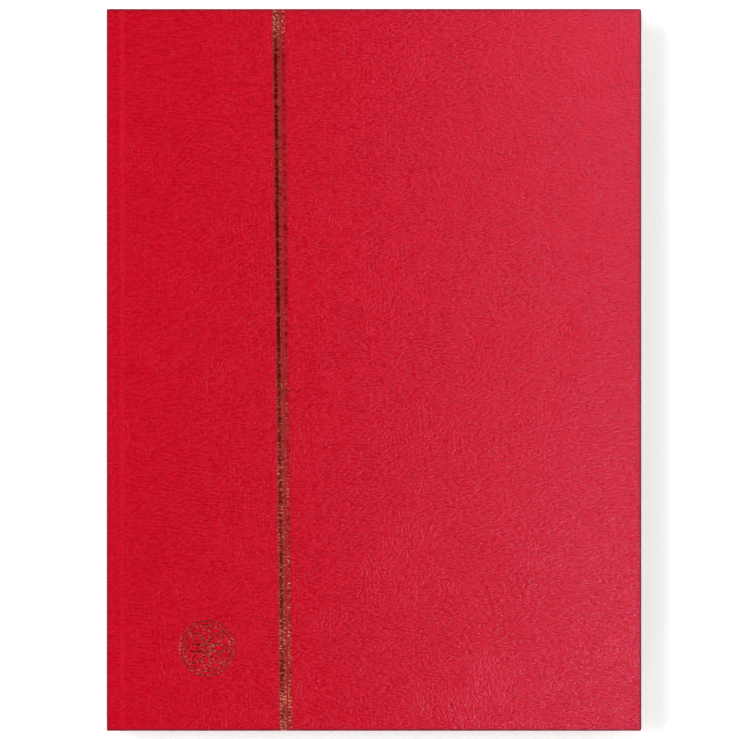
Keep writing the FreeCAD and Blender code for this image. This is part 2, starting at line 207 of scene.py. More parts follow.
class StockbookSizes(bpy.types.PropertyGroup):
    """Sizes of the dressing, in metres"""

    leather: length("Leatherette", "Thickness of the leatherette", 0.4)
    edge_round: length("Edge round", "Radius of the leatherette round the boards' edges", 0.85)
    turn_in: length("Turn-in", "Width of leatherette folded over inside the covers", 14.0)
    joint_slope: length("Joint slope", "Width of the board's slope into the groove", 0.8)
    joint_drop: length("Joint drop", "Height of that slope on the board", 0.36)
    joint_leather: length("Joint leatherette", "Thickness of the leatherette in the joints", 0.38)
    joint_paper: length("Joint paper", "Thickness of the endpaper in the joints", 0.12)
    hem: length("Hem", "Thickness of the leatherette folded double at the head and tail", 0.8)
    spine_round: length("Spine round", "Radius of the spine's head and tail edges", 0.4)
    spine_end: length("Spine end", "Depth under a cover's face where spine and joint meet", 2.6)
    linen_root: length("Linen root", "Distance of the linen's fold from its hinged part", 0.55)
    linen_fold: length("Linen fold", "Width of the linen's fold", 0.5)
    linen_thin: length("Linen, thin", "Width over which the linen is pressed thin at its fold", 1.3)
    foil: length("Foil", "Thickness of the foil", 0.05)
    foil_lift: length("Foil lift", "Height of the foil's face over its bed", 0.04)
    foil_wrap: length("Foil wrap", "Reach of the foil past the middle of the cover's edge", 0.3)
    line_lean: FloatProperty(
        name="Line lean",
        description="Lean of the foil lines from the spine",
        default=math.radians(0.6),
        subtype="ANGLE",
    )
    wide_line_place: length("Wide line place", "Middle of the wide foil line", -39.7)
    wide_line_width: length("Wide line width", "Width of the wide foil line", 3.0)
    wide_line_core: length("Wide line core", "Half the width of the wide line's dark core", 0.7)
    wide_line_inset: length("Wide line inset", "Distance of that core from the line's edge", 0.35)
    narrow_line_place: length("Narrow line place", "Middle of the narrow foil line", -36.75)
    narrow_line_width: length("Narrow line width", "Width of the narrow foil line", 1.5)
    narrow_line_core: length("Narrow line core", "Half the width of the narrow line's core", 0.35)
    line_depth: length("Line depth", "Depth to which the foil lines are pressed", 0.04)
    line_shoulder: length("Line shoulder", "Width of the slope beside a foil line", 0.25)
    stain_shift: length("Stain shift", "Shift of the rubbed band towards the spine", 0.25)
    stamp_x: length("Stamp across", "Middle of the stamp across the book", -70.4)
    stamp_y: length("Stamp up", "Middle of the stamp up the book", -117.5)
    stamp_reach: length("Stamp reach", "Half the side of the stamped square", 12.4)
    stamp_depth: length("Stamp depth", "Depth to which the stamp is pressed", 0.11)
    stamp_line: length("Stamp line", "Width of the stamp's lines", 0.55)
    stamp_shoulder: length("Stamp shoulder", "Width of the slope beside the stamp's lines", 0.2)
    stamp_lift: length("Stamp lift", "Height of the stamp's foil over its bed", 0.045)
    outer_ring: length("Outer ring", "Radius of the stamp's outer ring", 11.5)
    inner_ring: length("Inner ring", "Radius of the stamp's inner ring", 9.8)
    eye_ring: length("Eye ring", "Radius of the ring in the rosette's middle", 1.3)
    petal_place: length("Petal place", "Distance of a petal's middle from the stamp's", 5.4)
    petal_length: length("Petal length", "Half the length of a petal", 3.2)
    petal_width: length("Petal width", "Half the width of a petal", 1.55)
    stamp_cuts: IntProperty(
        name="Stamp cuts",
        description="Cuts that divide the stamped square into its grid",
        default=110,
        min=10,
    )


class StockbookColours(bpy.types.PropertyGroup):
    """Colours of the dressing, in linear light"""

    leather: colour("Leatherette", "Crests of the red grain", 0.595, 0.0006, 0.012)
    # Deeper red of the grain's valleys, partly a painted shade in them
    leather_deep_and_shade: colour("Leatherette, deep", "Valleys of the red grain", 0.488, 0.0003, 0.009)
    # Painted shade: a dark red that darkens the leatherette along its turned edges
    leather_edge_shade: colour("Leatherette, edge", "Painted shade along the turned edges", 0.17, 0.006, 0.022)
    leather_rubbed: colour("Leatherette, rubbed", "Leatherette stained by foil", 0.39, 0.008, 0.008)
    leather_sheen: colour("Leatherette, sheen", "Tint of the leatherette's gloss", 1.0, 0.5, 0.85)
    foil: colour("Foil", "Bright gold foil", 1.0, 0.35, 0.21)
    foil_dark: colour("Foil, dark", "Dark-toned body of the foil", 0.14, 0.0022, 0.001)
    # Lighter copy of the foil's body, used where the reflection is painted brightest
    foil_warm: colour("Foil, warm", "Body of the foil where painted lighter", 0.28, 0.028, 0.012)
    foil_rim: colour("Foil, rim", "Foil worn thin along its rims", 0.43, 0.036, 0.038)
    foil_thin: colour("Foil, thin", "Body of the thin foil line", 0.43, 0.006, 0.012)
    foil_faint: colour("Foil, faint", "Rim of the thin foil line", 0.55, 0.012, 0.018)
    endpaper: colour("Endpaper", "Cream endpaper", 0.80, 0.76, 0.66)
    card: colour("Card", "Black leaf card", 0.014, 0.014, 0.015)
    linen: colour("Linen", "Black hinge linen", 0.016, 0.016, 0.017)
    film: colour("Film", "Clear pocket film", 0.93, 0.95, 0.96)
    glassine: colour("Glassine", "Milky interleaf", 0.80, 0.82, 0.80)
    board: colour("Board", "Grey binder's board", 0.26, 0.25, 0.23)
    thread: colour("Thread", "Waxed sewing thread", 0.72, 0.68, 0.58)
    lining: colour("Lining", "Gauze on the spine", 0.66, 0.63, 0.55)
    floor: colour("Floor", "Plain studio floor", 0.86, 0.86, 0.86)


def node_of(tree, kind, **settings):
    """A new node with its own settings."""
    made = tree.nodes.new(kind)
    for key, value in settings.items():
        setattr(made, key, value)
    return made


def new_finish(name, roughness, specular=0.5):
    """A new material, its node tree and its shader."""
    finish = bpy.data.materials.new(name)
    finish.use_nodes = True
    tree = finish.node_tree
    shader = tree.nodes["Principled BSDF"]
    shader.inputs["Roughness"].default_value = roughness
    shader.inputs["Specular IOR Level"].default_value = specular
    return finish, tree, shader


def place_on(tree, stretch=(1.0, 1.0, 1.0), turn=0.0):
    """Object coordinates, stretched and turned about the vertical."""
    coordinates = node_of(tree, "ShaderNodeTexCoord")
    mapping = node_of(tree, "ShaderNodeMapping")
    mapping.inputs["Scale"].default_value = stretch
    mapping.inputs["Rotation"].default_value = (0.0, 0.0, turn)
    tree.links.new(coordinates.outputs["Object"], mapping.inputs["Vector"])
    return mapping.outputs["Vector"]


def mottle(tree, vector, scale, detail=4.0, roughness=0.55, distortion=0.0):
    """A noise pattern from 0 to about 1."""
    made = node_of(tree, "ShaderNodeTexNoise", noise_type="FBM", normalize=True)
    made.inputs["Scale"].default_value = scale
    made.inputs["Detail"].default_value = detail
    made.inputs["Roughness"].default_value = roughness
    made.inputs["Distortion"].default_value = distortion
    tree.links.new(vector, made.inputs["Vector"])
    return made.outputs["Fac"]


def spread(tree, value, low, high, to_low=0.0, to_high=1.0, shape="LINEAR"):
    """A value carried from one range to another and held inside it."""
    made = node_of(tree, "ShaderNodeMapRange", clamp=True, interpolation_type=shape)
    made.inputs["From Min"].default_value = low
    made.inputs["From Max"].default_value = high
    made.inputs["To Min"].default_value = to_low
    made.inputs["To Max"].default_value = to_high
    tree.links.new(value, made.inputs["Value"])
    return made.outputs["Result"]


def combine(tree, first, second, operation="ADD"):
    """Two values, or a value and a number, joined by arithmetic."""
    made = node_of(tree, "ShaderNodeMath", operation=operation)
    for socket, value in zip(made.inputs, (first, second)):
        if isinstance(value, (int, float)):
            socket.default_value = value
        else:
            tree.links.new(value, socket)
    return made.outputs["Value"]


def share(tree, value, part):
    """A value times a number."""
    return combine(tree, value, part, "MULTIPLY")


def between(tree, factor, first, second):
    """A number from one pattern to another by a third."""
    made = node_of(tree, "ShaderNodeMix", data_type="FLOAT")
    tree.links.new(factor, made.inputs[0])
    tree.links.new(first, made.inputs[2])
    tree.links.new(second, made.inputs[3])
    return made.outputs[0]


def tint(tree, factor, first, second):
    """A colour from one to another, either of them a triple or a socket."""
    made = node_of(tree, "ShaderNodeMix", data_type="RGBA")
    tree.links.new(factor, made.inputs[0])
    for socket, value in ((made.inputs[6], first), (made.inputs[7], second)):
        if hasattr(value, "node"):
            tree.links.new(value, socket)
        else:
            socket.default_value = (*value, 1.0)
    return made.outputs[2]


def emboss(tree, shader, height, strength, depth):
    """Relief of a pattern on the shader."""
    made = node_of(tree, "ShaderNodeBump")
    made.inputs["Strength"].default_value = strength
    made.inputs["Distance"].default_value = depth
    tree.links.new(height, made.inputs["Height"])
    tree.links.new(made.outputs["Normal"], shader.inputs["Normal"])


def scaled(value, factor):
    """A colour made lighter or darker."""
    return tuple(min(1.0, channel * factor) for channel in value)


def creases(tree, vector, scale):
    """Long creases of soft skin: 0 in their valleys and 1 between them."""
    noise = mottle(tree, vector, scale, detail=2.0, roughness=0.5, distortion=0.5)
    away = combine(tree, combine(tree, noise, 0.5, "SUBTRACT"), 0.0, "ABSOLUTE")
    return spread(tree, away, 0.0, 0.035, shape="SMOOTHSTEP")


def ruffled(tree, vector, scale, amount):
    """Coordinates pushed about by a noise, so that what lies on them wavers."""
    noise = node_of(tree, "ShaderNodeTexNoise", normalize=True)
    noise.inputs["Scale"].default_value = scale
    noise.inputs["Detail"].default_value = 1.0
    tree.links.new(vector, noise.inputs["Vector"])
    made = node_of(tree, "ShaderNodeVectorMath", operation="MULTIPLY_ADD")
    made.inputs[1].default_value = (amount, amount, amount)
    tree.links.new(noise.outputs["Color"], made.inputs[0])
    tree.links.new(vector, made.inputs[2])
    return made.outputs["Vector"]


def pebbles(tree, stretch, turn, scale):
    """Small cells of skin, longer one way: 0 in the lines between them and 1 on their tops."""
    vector = ruffled(tree, place_on(tree, stretch, turn), scale=700.0, amount=0.3 * MM)
    cells = node_of(tree, "ShaderNodeTexVoronoi", feature="DISTANCE_TO_EDGE")
    cells.inputs["Scale"].default_value = scale
    tree.links.new(vector, cells.inputs["Vector"])
    tops = spread(tree, cells.outputs["Distance"], 0.0, 0.32, shape="SMOOTHSTEP")
    fine = mottle(tree, vector, scale * 1.1, detail=1.0)
    fine = spread(tree, fine, 0.3, 0.7, shape="SMOOTHSTEP")
    return combine(tree, share(tree, tops, 0.25), share(tree, fine, 0.75))


def leather_grain(tree):
    """Height of the fine wrinkled grain, mostly across the book, with longer creases in it."""
    along = pebbles(tree, stretch=ACROSS, turn=0.04, scale=1200.0)
    up = pebbles(tree, stretch=UPRIGHT, turn=-0.06, scale=1000.0)
    patch = spread(tree, mottle(tree, place_on(tree), 40.0, detail=2.0), 0.5, 0.75)
    cells = between(tree, patch, along, up)
    dashes = mottle(tree, place_on(tree, ACROSS, turn=0.02), 2000.0, detail=0.0)
    dashes = spread(tree, dashes, 0.25, 0.75)
    long = creases(tree, place_on(tree, (0.5, 1.0, 1.0), turn=0.1), 140.0)
    of_cells, of_dashes, of_creases = GRAIN_SHARES
    skin = combine(tree, share(tree, cells, of_cells), share(tree, dashes, of_dashes))
    return combine(tree, skin, share(tree, long, of_creases))


def ripples(tree, turn, spacing, patches):
    """Parallel ripples of pressed skin that come and go in patches, about 0 between them."""
    wave = node_of(tree, "ShaderNodeTexWave", bands_direction="Y")
    wave.inputs["Scale"].default_value = math.pi / (10.0 * spacing)
    wave.inputs["Distortion"].default_value = 6.0
    wave.inputs["Detail"].default_value = 3.0
    wave.inputs["Detail Scale"].default_value = 1.1
    tree.links.new(place_on(tree, turn=turn), wave.inputs["Vector"])
    here = mottle(tree, place_on(tree, turn=turn + 1.0), patches, detail=2.0)
    here = spread(tree, here, 0.48, 0.62)
    swing = combine(tree, wave.outputs["Fac"], 0.5, "SUBTRACT")
    return combine(tree, swing, here, "MULTIPLY")


def painted_edge_shade(tree):
    """Painted shade, from 0 to 1, where the leatherette turns over the book's outer edges."""
    high = CAD_BOX[1]
    split = node_of(tree, "ShaderNodeSeparateXYZ")
    tree.links.new(place_on(tree), split.inputs["Vector"])
    gaps = []
    for axis, reach in (("X", high.x), ("Y", high.y)):
        out = combine(tree, split.outputs[axis], 0.0, "ABSOLUTE")
        gaps.append(combine(tree, reach, out, "SUBTRACT"))
    inward = combine(tree, gaps[0], gaps[1], "MINIMUM")
    plan = spread(tree, inward, *SHADE_FROM_EDGE, 1.0, 0.0)
    above = combine(tree, high.z, split.outputs["Z"], "SUBTRACT")
    below = combine(tree, above, split.outputs["Z"], "MINIMUM")
    rim = spread(tree, below, *SHADE_FROM_FACE, 1.0, 0.0)
    return combine(tree, plan, rim, "MULTIPLY")


def line_distance(tree, centre, lean):
    """Distance from the middle of a leaning line on the front cover."""
    split = node_of(tree, "ShaderNodeSeparateXYZ")
    tree.links.new(place_on(tree, turn=-lean), split.inputs["Vector"])
    return combine(tree, combine(tree, split.outputs["X"], centre, "SUBTRACT"), 0.0, "ABSOLUTE")


def leatherette(colours, name, stain=None):
    """Red grained leatherette, rubbed with foil along a (middle, half width, lean) stain."""
    finish, tree, shader = new_finish(name, roughness=0.4, specular=0.4)
    shader.inputs["Specular Tint"].default_value = (*colours.leather_sheen, 1.0)
    grain = leather_grain(tree)
    fine = mottle(tree, place_on(tree, (0.36, 1.0, 1.0), turn=0.03), 1300.0, detail=1.0)
    fine = spread(tree, fine, 0.32, 0.68)
    skin = combine(tree, share(tree, grain, 0.5), share(tree, fine, 0.5))
    for turn, spacing, patches, lift in RIPPLES:
        wave = ripples(tree, turn, spacing, patches)
        skin = combine(tree, skin, share(tree, wave, RIPPLE_TONE))
        grain = combine(tree, grain, share(tree, wave, lift))
    # tone follows the grain's height and a random mottle; the low places take the deeper red,
    # partly as painted shade in the valleys
    tone = spread(tree, skin, 0.25, 0.7)
    cloud = mottle(tree, place_on(tree), 22.0, detail=5.0, roughness=0.6)
    deep = tint(tree, cloud, scaled(colours.leather_deep_and_shade, 0.96), scaled(colours.leather_deep_and_shade, 1.08))
    crest = tint(tree, cloud, scaled(colours.leather, 0.97), scaled(colours.leather, 1.05))
    dye_and_shade = tint(tree, tone, deep, crest)
    if stain is not None:
        centre, half, lean = stain
        rubbed = combine(tree, line_distance(tree, centre, lean), share(tree, grain, half * 0.3))
        stained = spread(tree, rubbed, half * 0.95, half * 1.4, 1.0, 0.0)
        dye_and_shade = tint(tree, stained, dye_and_shade, colours.leather_rubbed)
    # Painted shade where the leatherette turns over the book's outer edges
    shade = share(tree, painted_edge_shade(tree), 0.75)
    tree.links.new(tint(tree, shade, dye_and_shade, colours.leather_edge_shade), shader.inputs["Base Color"])
    patch = mottle(tree, place_on(tree, (0.8, 1.0, 1.0)), 120.0, detail=3.0, roughness=0.6)
    patch = spread(tree, patch, 0.3, 0.7)
    worn = combine(tree, share(tree, skin, 0.8), share(tree, patch, 0.2))
    tree.links.new(spread(tree, worn, 0.3, 0.7, *GRAIN_ROUGHNESS), shader.inputs["Roughness"])
    relief = combine(tree, grain, share(tree, patch, 0.35))
    emboss(tree, shader, relief, strength=1.0, depth=GRAIN_DEPTH)
    return finish


def tail_to_head(tree, stops):
    """A value that changes from the tail of the book to its head by (place, value) stops."""
    split = node_of(tree, "ShaderNodeSeparateXYZ")
    tree.links.new(place_on(tree), split.inputs["Vector"])
    ramp = node_of(tree, "ShaderNodeValToRGB")
    stop = ramp.color_ramp.elements
    while len(stop) < len(stops):
        stop.new(0.5)
    for element, (place, value) in zip(stop, stops):
        element.position = place
        element.color = (value, value, value, 1.0)
    low, high = CAD_BOX
    tree.links.new(spread(tree, split.outputs["Y"], low.y, high.y), ramp.inputs["Fac"])
    return ramp.outputs["Color"]


def gilding(colours, name, body, warm, rim=None):
    """Gold foil pressed on the grain: a dark body, a painted reflection, worn rims and bright
    specks.
    """
    finish, tree, shader = new_finish(name, roughness=0.34, specular=0.25)
    shader.inputs["Specular Tint"].default_value = (*colours.foil, 1.0)
    grain = leather_grain(tree)
    blotch = mottle(tree, place_on(tree, (1.0, 0.6, 1.0)), 160.0, detail=3.0, roughness=0.6)
    # bright: a painted reflection that lightens the foil towards the tail and the head, with random
    # blotches in it
    bright = combine(tree, tail_to_head(tree, FOIL_PAINTED_GLEAM), share(tree, blotch, 0.8))
    # Bright specks of gold foil, partly painted glints, crowding where the painted reflection is
    # brighter
    speck = mottle(tree, place_on(tree, (0.45, 1.0, 1.0)), 1450.0, detail=2.0, roughness=0.6)
    level = combine(tree, speck, share(tree, bright, 0.22))
    sparkle = spread(tree, level, 0.8, 0.93)
    # The body turns to its lighter copy where the painted reflection is brightest
    base = tint(tree, spread(tree, bright, 0.75, 1.4, 0.0, 0.9), body, warm)
    if rim is not None:
        centre, half, lean, edge = rim
        out = line_distance(tree, centre, lean)
        ragged = combine(tree, out, share(tree, grain, half * 0.35))
        base = tint(tree, spread(tree, ragged, half * 0.9, half * 1.5), base, edge)
        ticks = mottle(tree, place_on(tree, (0.4, 1.0, 1.0)), 1000.0, detail=1.0)
        base = tint(tree, spread(tree, ticks, 0.52, 0.64, 0.0, 0.6), base, colours.foil_dark)
        base = tint(tree, spread(tree, ticks, 0.32, 0.47, 0.85, 0.0), base, colours.foil_rim)
    tree.links.new(tint(tree, sparkle, base, colours.foil), shader.inputs["Base Color"])
    tree.links.new(spread(tree, sparkle, 0.0, 1.0, *FOIL_METAL), shader.inputs["Metallic"])
    tree.links.new(spread(tree, blotch, 0.3, 0.7, *FOIL_ROUGHNESS), shader.inputs["Roughness"])
    emboss(tree, shader, grain, strength=0.4, depth=0.2 * MM)
    return finish


def paper(name, tone, roughness, fibre=0.06):
    """Paper or card with a faint cloud and fibres."""
    finish, tree, shader = new_finish(name, roughness, specular=0.3)
    cloud = mottle(tree, place_on(tree), 60.0, detail=6.0, roughness=0.6)
    fibres = mottle(tree, place_on(tree, (1.0, 0.25, 1.0), turn=0.5), 900.0, roughness=0.6)
    speck = combine(tree, share(tree, cloud, 0.5), share(tree, fibres, 0.5))
    shade = spread(tree, speck, 0.3, 0.7)
    pulp = tint(tree, shade, scaled(tone, 1.0 - fibre), scaled(tone, 1.0 + fibre))
    tree.links.new(pulp, shader.inputs["Base Color"])
    emboss(tree, shader, fibres, strength=0.15, depth=0.08 * MM)
    return finish


def woven(name, tone, threads, roughness):
    """Plain-woven cloth, with its threads per metre."""
    finish, tree, shader = new_finish(name, roughness, specular=0.25)
    weave = []
    for direction in ("X", "Y"):
        wave = node_of(tree, "ShaderNodeTexWave", bands_direction=direction)
        wave.inputs["Scale"].default_value = threads / 20.0
        wave.inputs["Distortion"].default_value = 0.6
        wave.inputs["Detail Scale"].default_value = 2.0
        tree.links.new(place_on(tree), wave.inputs["Vector"])
        weave.append(wave.outputs["Fac"])
    slub = mottle(tree, place_on(tree), 300.0, detail=3.0)
    relief = combine(tree, combine(tree, *weave, "MAXIMUM"), share(tree, slub, 0.4))
    cloth = tint(tree, spread(tree, relief, 0.4, 1.3), scaled(tone, 0.55), scaled(tone, 1.35))
    tree.links.new(cloth, shader.inputs["Base Color"])
    emboss(tree, shader, relief, strength=0.4, depth=0.1 * MM)
    return finish


def clear_film(colours):
    """Clear film with faint drawn lines in it."""
    finish, tree, shader = new_finish("clear_pocket_film", roughness=0.06)
    shader.inputs["Base Color"].default_value = (*colours.film, 1.0)
    shader.inputs["Transmission Weight"].default_value = 1.0
    shader.inputs["IOR"].default_value = 1.46
    drawn = mottle(tree, place_on(tree, (0.15, 1.0, 1.0)), 260.0, detail=3.0)
    tree.links.new(spread(tree, drawn, 0.3, 0.7, 0.07, 0.11), shader.inputs["Roughness"])
    emboss(tree, shader, drawn, strength=0.02, depth=0.2 * MM)
    return finish


def milky_glassine(colours):
    """Translucent glassine with its cloudy look-through."""
    finish, tree, shader = new_finish("milky_glassine", roughness=0.32, specular=0.4)
    shader.inputs["Alpha"].default_value = 0.78
    cloud = mottle(tree, place_on(tree), 180.0, detail=6.0, roughness=0.65)
    milk = tint(tree, cloud, scaled(colours.glassine, 0.94), scaled(colours.glassine, 1.06))
    tree.links.new(milk, shader.inputs["Base Color"])
    tree.links.new(spread(tree, cloud, 0.3, 0.7, 0.26, 0.4), shader.inputs["Roughness"])
    buckle = mottle(tree, place_on(tree), 25.0, detail=3.0)
    emboss(tree, shader, buckle, strength=0.2, depth=0.8 * MM)
    return finish


def settings(context):
    """The sizes and colours of this scene."""
    return context.scene.stockbook_sizes, context.scene.stockbook_colours


def coat(node, finish):
    """Puts a finish on a CAD node that stays in view."""
    slots = NODES[node].material_slots
    for slot in slots:
        slot.material = finish
    if not slots:
        NODES[node].data.materials.append(finish)


def finish_named(name, make):
    """The finish of that name, made once."""
    return bpy.data.materials.get(name) or make()


def red(colours):
    """The one red leatherette that every covered piece shares."""
    name = "red_leatherette_grain"
    return finish_named(name, lambda: leatherette(colours, name))


def grey_board(colours):
    """The one grey board that lies under all the leatherette."""
    name = "grey_board"
    return finish_named(name, lambda: paper(name, colours.board, roughness=0.9, fibre=0.2))


def piece_from(name, shape, finish, smooth=40.0):
    """A piece from its finished shape, at the origin."""
    mesh = bpy.data.meshes.new(name)
    shape.to_mesh(mesh)
    shape.free()
    mesh.materials.append(finish)
    mesh.shade_smooth()
    mesh.set_sharp_from_angle(angle=math.radians(smooth))
    made = bpy.data.objects.new(name, mesh)
    bpy.context.scene.collection.objects.link(made)
    return made


def give_wall(piece, thickness, smooth=40.0):
    """Thickness of a sheet, laid on the side away from its face and set in its mesh."""
    wall = piece.modifiers.new("wall", "SOLIDIFY")
    wall.thickness = thickness
    wall.offset = -1.0
    wall.use_even_offset = True
    bpy.context.view_layer.update()
    graph = bpy.context.evaluated_depsgraph_get()
    sheet = piece.data
    piece.data = bpy.data.meshes.new_from_object(piece.evaluated_get(graph))
    piece.modifiers.clear()
    bpy.data.meshes.remove(sheet)
    piece.data.name = piece.name
    piece.data.set_sharp_from_angle(angle=math.radians(smooth))


def cut_across(shape, place, normal):
    """Cuts a shape by a plane and keeps both sides."""
    bmesh.ops.bisect_plane(
        shape,
        geom=shape.verts[:] + shape.edges[:] + shape.faces[:],
        dist=1e-7,
        plane_co=place,
        plane_no=normal,
    )


def block(low, high):
    """A block between two corners."""
    shape = bmesh.new()
    bmesh.ops.create_cube(shape, size=1.0)
    size = Vector(high) - Vector(low)
    middle = (Vector(high) + Vector(low)) / 2.0
    bmesh.ops.transform(
        shape,
        matrix=Matrix.Translation(middle) @ Matrix.Diagonal((size.x, size.y, size.z, 1.0)),
        verts=shape.verts,
    )
    return shape


def channel(points, foot, head):
    """A sheet whose section is a line of (x, z) points, drawn from foot to head."""
    shape = bmesh.new()
    section = [shape.verts.new((x, foot, z)) for x, z in points]
    edges = [shape.edges.new(pair) for pair in zip(section, section[1:])]
    drawn = bmesh.ops.extrude_edge_only(shape, edges=edges)
    moved = [item for item in drawn["geom"] if isinstance(item, bmesh.types.BMVert)]
    bmesh.ops.translate(shape, verts=moved, vec=(0.0, head - foot, 0.0))
    return shape


def round_edges(shape, edges, radius, segments):
    """Rounds the edges of a shape."""
    bmesh.ops.bevel(
        shape,
        geom=edges,
        offset=radius,
        offset_type="OFFSET",
        segments=segments,
        profile=0.5,
        affect="EDGES",
        material=-1,
    )


def round_corner(shape, point, radius, segments):
    """Rounds the long edge of a channel that passes through an (x, z) point."""
    x, z = point
    edges = []
    for edge in shape.edges:
        if all(abs(v.co.x - x) < NEAR and abs(v.co.z - z) < NEAR for v in edge.verts):
            edges.append(edge)
    round_edges(shape, edges, radius, segments)


def face_away(shape, inside):
    """Turns a sheet so that its faces point away from a place inside it."""
    shape.normal_update()
    outward = 0.0
    for face in shape.faces:
        away = face.calc_center_median() - Vector(inside)
        outward += away.dot(face.normal) * face.calc_area()
    if outward < 0.0:
        bmesh.ops.reverse_faces(shape, faces=shape.faces)
    shape.normal_update()


def fold_hems(shape, depth, width):
    """Folds the head and tail of a sheet over to its inner side."""
    shape.normal_update()
    for side in (-1.0, 1.0):
        end = max(side * v.co.y for v in shape.verts)
        rim = [e for e in shape.edges if e.is_boundary]
        rim = [e for e in rim if all(side * v.co.y > end - NEAR for v in e.verts)]
        normals = {v: v.normal.copy() for e in rim for v in e.verts}
        for step in ("down", "in"):
            drawn = bmesh.ops.extrude_edge_only(shape, edges=rim)
            fresh = [item for item in drawn["geom"] if isinstance(item, bmesh.types.BMVert)]
            rim = [item for item in drawn["geom"] if isinstance(item, bmesh.types.BMEdge)]
            rim = [e for e in rim if all(v in fresh for v in e.verts)]
            lineage = {}
            for vert in fresh:
                beside = [e.other_vert(vert) for e in vert.link_edges]
                old = next(v for v in beside if v not in fresh)
                lineage[vert] = normals[old]
                if step == "down":
                    vert.co -= normals[old] * depth
                else:
                    vert.co.y -= side * width
            normals = lineage


def line_offset(place, centre, lean):
    """Distance of a place from the middle of a leaning line."""
    return (place.x - centre) * math.cos(lean) + place.y * math.sin(lean)


def foil_lines(sizes):
    """Middle and half width of the two foil lines."""
    return (
        (sizes.wide_line_place, sizes.wide_line_width / 2.0),
        (sizes.narrow_line_place, sizes.narrow_line_width / 2.0),
    )


def rubbed_band(sizes):
    """Middle, half width and lean of the band that the foil lines rubbed."""
    left = sizes.wide_line_place - sizes.wide_line_width / 2.0
    right = sizes.narrow_line_place + sizes.narrow_line_width / 2.0
    return (left + right) / 2.0 - sizes.stain_shift, (right - left) / 2.0, sizes.line_lean


def petal_turns():
    """Turns of the rosette's petals."""
    return [math.radians(360.0 / PETALS) * number for number in range(PETALS)]


def rosette_depth(across, up, sizes):
    """Depth, from 0 to 1, of the stamp: two rings round a flower of eight outlined petals."""
    radius = math.hypot(across, up)
    line = sizes.stamp_line / 2.0
    gaps = [abs(radius - ring) for ring in (sizes.outer_ring, sizes.inner_ring, sizes.eye_ring)]
    for turn in petal_turns():
        out = across * math.cos(turn) + up * math.sin(turn) - sizes.petal_place
        side = up * math.cos(turn) - across * math.sin(turn)
        reach = math.hypot(out / sizes.petal_length, side / sizes.petal_width)
        gaps.append(abs(reach - 1.0) * sizes.petal_width)
    return max(0.0, min(1.0, (line - min(gaps)) / sizes.stamp_shoulder + 0.9))


def press_rosette(shape, outer, sizes):
    """Presses the stamp's bed into the front cover."""
    x, y, reach = sizes.stamp_x, sizes.stamp_y, sizes.stamp_reach
    for side in (-1.0, 1.0):
        cut_across(shape, (x + side * reach, 0.0, 0.0), (1.0, 0.0, 0.0))
        cut_across(shape, (0.0, y + side * reach, 0.0), (0.0, 1.0, 0.0))
    shape.normal_update()
    square = []
    for face in shape.faces:
        middle = face.calc_center_median()
        if abs(middle.x - x) < reach and abs(middle.y - y) < reach and middle.z > outer - MM / 2.0:
            square.append(face)
    bmesh.ops.subdivide_edges(
        shape,
        edges=list({edge for face in square for edge in face.edges}),
        cuts=sizes.stamp_cuts,
        use_grid_fill=True,
    )
    for vert in shape.verts:
        across, up = vert.co.x - x, vert.co.y - y
        if max(abs(across), abs(up)) < reach and vert.co.z > outer - MM / 2.0:
            vert.co.z -= sizes.stamp_depth * rosette_depth(across, up, sizes)


def cover_sheet(node, outward, sizes, stamped):
    """A cover's leatherette as one sheet: outer face, rounded edges, joint slope and turn-ins."""
    low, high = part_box(node)
    outer, inner = (high.z, low.z) if outward > 0.0 else (low.z, high.z)
    shape = block(low, high)
    turned = [e for e in shape.edges if any(v.co.x > high.x - NEAR for v in e.verts)]
    round_edges(shape, turned, sizes.edge_round, EDGE_SEGMENTS)
    shape.normal_update()
    inside = [f for f in shape.faces if f.normal.z * outward < -0.99]
    inside = [max(inside, key=lambda f: f.calc_area())]
    bmesh.ops.inset_region(
        shape,
        faces=inside,
        thickness=sizes.turn_in - sizes.edge_round,
        use_even_offset=True,
    )
    bmesh.ops.delete(shape, geom=inside, context="FACES")
    for step in range(1, SLOPE_CUTS + 1):
        reach = sizes.joint_slope * step / SLOPE_CUTS
        cut_across(shape, (low.x + reach, 0.0, 0.0), (1.0, 0.0, 0.0))
    for vert in shape.verts:
        fall = 1.0 - (vert.co.x - low.x) / sizes.joint_slope
        if fall > 0.0:
            height = (vert.co.z - inner) / (outer - inner)
            vert.co.z -= outward * sizes.joint_drop * fall**2 * height
    if not stamped:
        return shape
    lean = sizes.line_lean
    for centre, half in foil_lines(sizes):
        cuts = [half * part for part in LINE_CUTS]
        for side in (-1.0, 1.0):
            for reach in (*cuts, half + sizes.line_shoulder):
                place = (centre + side * reach / math.cos(lean), 0.0, 0.0)
                cut_across(shape, place, (math.cos(lean), math.sin(lean), 0.0))
    shape.normal_update()
    middle = (outer + inner) / 2.0
    for centre, half in foil_lines(sizes):
        for vert in shape.verts:
            off = abs(line_offset(vert.co, centre, lean)) / half
            if off < 1.0001 and vert.co.z > middle - sizes.foil_wrap:
                crown = 1.0 + LINE_CROWN * (1.0 - off**2)
                vert.co -= vert.normal * sizes.line_depth * crown
    return shape


